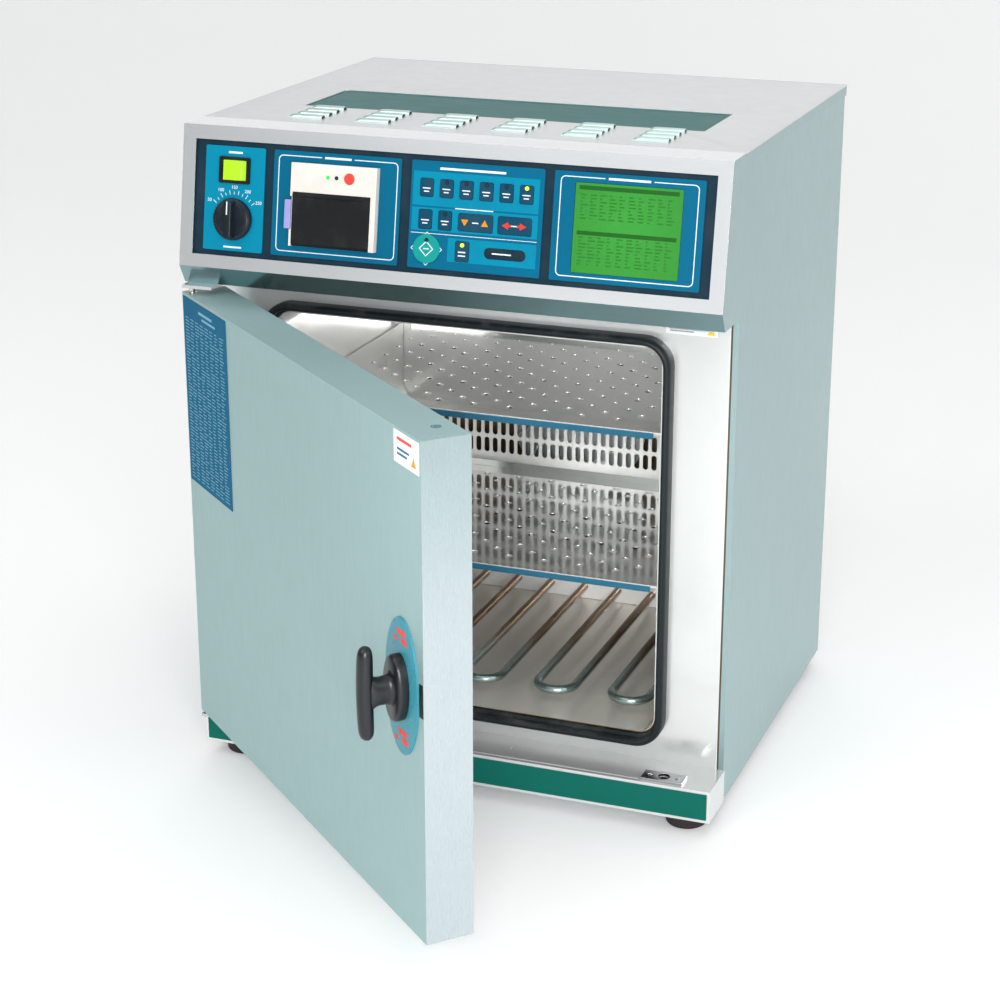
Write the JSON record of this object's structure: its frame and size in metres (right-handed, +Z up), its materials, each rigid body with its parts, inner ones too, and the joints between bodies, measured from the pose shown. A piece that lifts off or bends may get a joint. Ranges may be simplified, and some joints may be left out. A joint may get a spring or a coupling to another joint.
{
  "type": "dry heat sterilizer",
  "caption": "Bench-top hot air steriliser: steel cabinet with a swing door and two-rod latch, heated chamber with perforated shelves, and a sloped control panel with a printer.",
  "frame": {"origin": "on the bench, in the middle of the four rubber feet", "axes": "+Z up, -Y out of the front with the door and the control panel, +X to the viewer's right; the door stands open by 42 degrees"},
  "size_m": [0.5206, 0.8233, 0.6352],
  "materials": {
    "stainless": "satin",
    "polished_stainless": "mirror polished",
    "painted_top": "satin",
    "recess_brushed": "brushed, teal grey",
    "door_steel": "satin, pale teal grey",
    "plinth_green": "gloss",
    "foot_rubber": "matt",
    "bolt_steel": "bright",
    "zinc_sheet": "zinc plated",
    "wool": "mineral wool",
    "gasket_silicone": "satin",
    "panel_dark": "matt",
    "panel_blue": "gloss film",
    "lcd_green": "backlit glass",
    "lens_yellow": "clear",
    "circuit_board": "lacquered",
    "black_plastic": "fine texture",
    "rocker_green": "lit",
    "cream_plastic": "fine texture",
    "thermostat_body": "glazed",
    "heater_metal": "heat tinted",
    "brass_bush": "turned",
    "escutcheon_blue": "gloss",
    "notice_blue": "printed film",
    "button_red": "gloss",
    "tab_lilac": "gloss",
    "key_teal": "fine texture",
    "start_teal": "fine texture"
  },
  "bodies": {
    "cabinet": {"base_tray": "zinc_sheet", "plinth": "polished_stainless", "plinth_plate": "plinth_green", "feet": "foot_rubber", "screws": "bolt_steel", "side_panels": "stainless", "top_cover": "painted_top", "top_recess_plate": "recess_brushed", "rear_panel": "zinc_sheet", "front_frame": "polished_stainless", "chamber_liner": "polished_stainless", "insulation": "wool", "door_gasket": "gasket_silicone", "fascia_housing": "polished_stainless", "control_deck": "zinc_sheet", "panel_backing": "panel_dark", "section_plates": "panel_blue", "lcd_module": "lcd_green", "indicator_lenses": "lens_yellow", "electronics": "circuit_board", "switch_body": "black_plastic", "printer_body": "cream_plastic", "safety_thermostat": "thermostat_body", "heaters": "heater_metal", "air_baffle": "polished_stainless", "shelves": "polished_stainless", "temperature_probe": "bolt_steel", "fan_motor": "black_plastic", "exhaust_spigot": "stainless", "power_inlet": "black_plastic", "hinge_brackets_keepers": "bolt_steel"},
    "door": {"door_skin": "door_steel", "door_inner_panel": "polished_stainless", "door_insulation": "wool", "hinge_bushes": "brass_bush", "escutcheon": "escutcheon_blue", "door_plates": "notice_blue", "edge_insert": "black_plastic"},
    "handle": {"door_handle": "black_plastic", "latch_cam": "bolt_steel"},
    "latch_rod_upper": {"latch_rod_upper": "bolt_steel"},
    "latch_rod_lower": {"latch_rod_lower": "bolt_steel"},
    "power_rocker": {"power_rocker": "rocker_green"},
    "thermostat_knob": {"thermostat_knob": "black_plastic"},
    "printer_door": {"printer_door": "black_plastic"},
    "feed_button": {"feed_button": "button_red"},
    "release_tab": {"release_tab": "tab_lilac"},
    "fan": {"fan_impeller": "zinc_sheet"},
    "key_a1": {"key_a1": "key_teal"},
    "key_a2": {"key_a2": "key_teal"},
    "key_a3": {"key_a3": "key_teal"},
    "key_a4": {"key_a4": "key_teal"},
    "key_a5": {"key_a5": "key_teal"},
    "key_a6": {"key_a6": "key_teal"},
    "key_b1": {"key_b1": "key_teal"},
    "key_b2": {"key_b2": "key_teal"},
    "key_down_up": {"key_down_up": "key_teal"},
    "key_left_right": {"key_left_right": "key_teal"},
    "key_start": {"key_start": "start_teal"},
    "key_enter": {"key_enter": "key_teal"}
  },
  "joints": [
    {"name": "door_hinge", "type": "hinge", "parent": "cabinet", "child": "door", "pos_m": [-0.25, -0.22675, 0.052], "axis": [0, 0, -1], "range_deg": [-42, 78]},
    {"name": "handle_turn", "type": "hinge", "parent": "door", "child": "handle", "pos_m": [0.09459, -0.54644, 0.265], "axis": [-0.6691, -0.7431, 0], "range_deg": [0, 90]},
    {"name": "rod_upper_slide", "type": "slide", "parent": "door", "child": "latch_rod_upper", "axis": [0, 0, 1], "range_m": [0, 0.01414]},
    {"name": "rod_lower_slide", "type": "slide", "parent": "door", "child": "latch_rod_lower", "axis": [0, 0, -1], "range_m": [0, 0.01414]},
    {"name": "rocker_tilt", "type": "hinge", "parent": "cabinet", "child": "power_rocker", "pos_m": [-0.207, -0.21288, 0.59263], "axis": [0, 0.1694, 0.9855], "range_deg": [-16, 0]},
    {"name": "knob_turn", "type": "hinge", "parent": "cabinet", "child": "thermostat_knob", "pos_m": [-0.207, -0.2214, 0.54894], "axis": [0, -0.9855, 0.1694], "range_deg": [-135, 135]},
    {"name": "printer_door_hinge", "type": "hinge", "parent": "cabinet", "child": "printer_door", "pos_m": [-0.107, -0.22863, 0.53344], "axis": [1, 0, 0], "range_deg": [0, 75]},
    {"name": "feed_button_press", "type": "slide", "parent": "cabinet", "child": "feed_button", "axis": [0, 0.9855, -0.1694], "range_m": [0, 0.0008], "stiffness_N_per_m": 1500},
    {"name": "release_tab_slide", "type": "slide", "parent": "cabinet", "child": "release_tab", "axis": [0, 0.1694, 0.9855], "range_m": [0, 0.003], "stiffness_N_per_m": 400},
    {"name": "fan_spin", "type": "hinge", "parent": "cabinet", "child": "fan", "pos_m": [0, 0.16125, 0.264], "axis": [0, 1, 0], "continuous": true},
    {"name": "key_a1_press", "type": "slide", "parent": "cabinet", "child": "key_a1", "axis": [0, 0.9855, -0.1694], "range_m": [0, 0.0004], "stiffness_N_per_m": 2000},
    {"name": "key_a2_press", "type": "slide", "parent": "cabinet", "child": "key_a2", "axis": [0, 0.9855, -0.1694], "range_m": [0, 0.0004], "stiffness_N_per_m": 2000},
    {"name": "key_a3_press", "type": "slide", "parent": "cabinet", "child": "key_a3", "axis": [0, 0.9855, -0.1694], "range_m": [0, 0.0004], "stiffness_N_per_m": 2000},
    {"name": "key_a4_press", "type": "slide", "parent": "cabinet", "child": "key_a4", "axis": [0, 0.9855, -0.1694], "range_m": [0, 0.0004], "stiffness_N_per_m": 2000},
    {"name": "key_a5_press", "type": "slide", "parent": "cabinet", "child": "key_a5", "axis": [0, 0.9855, -0.1694], "range_m": [0, 0.0004], "stiffness_N_per_m": 2000},
    {"name": "key_a6_press", "type": "slide", "parent": "cabinet", "child": "key_a6", "axis": [0, 0.9855, -0.1694], "range_m": [0, 0.0004], "stiffness_N_per_m": 2000},
    {"name": "key_b1_press", "type": "slide", "parent": "cabinet", "child": "key_b1", "axis": [0, 0.9855, -0.1694], "range_m": [0, 0.0004], "stiffness_N_per_m": 2000},
    {"name": "key_b2_press", "type": "slide", "parent": "cabinet", "child": "key_b2", "axis": [0, 0.9855, -0.1694], "range_m": [0, 0.0004], "stiffness_N_per_m": 2000},
    {"name": "key_down_up_rock", "type": "hinge", "parent": "cabinet", "child": "key_down_up", "pos_m": [0.0299, -0.21896, 0.56314], "axis": [0, 0.1694, 0.9855], "range_deg": [-1.5, 1.5], "stiffness_Nm_per_rad": 2},
    {"name": "key_left_right_rock", "type": "hinge", "parent": "cabinet", "child": "key_left_right", "pos_m": [0.0667, -0.21896, 0.56314], "axis": [0, 0.1694, 0.9855], "range_deg": [-1.5, 1.5], "stiffness_Nm_per_rad": 2},
    {"name": "key_start_press", "type": "slide", "parent": "cabinet", "child": "key_start", "axis": [0, 0.9855, -0.1694], "range_m": [0, 0.0004], "stiffness_N_per_m": 2000},
    {"name": "key_enter_press", "type": "slide", "parent": "cabinet", "child": "key_enter", "axis": [0, 0.9855, -0.1694], "range_m": [0, 0.0004], "stiffness_N_per_m": 2000}
  ],
  "couplings": [
    {"joint": "rod_upper_slide", "follows": "handle_turn", "m_per_rad": 0.009},
    {"joint": "rod_lower_slide", "follows": "handle_turn", "m_per_rad": 0.009}
  ]
}
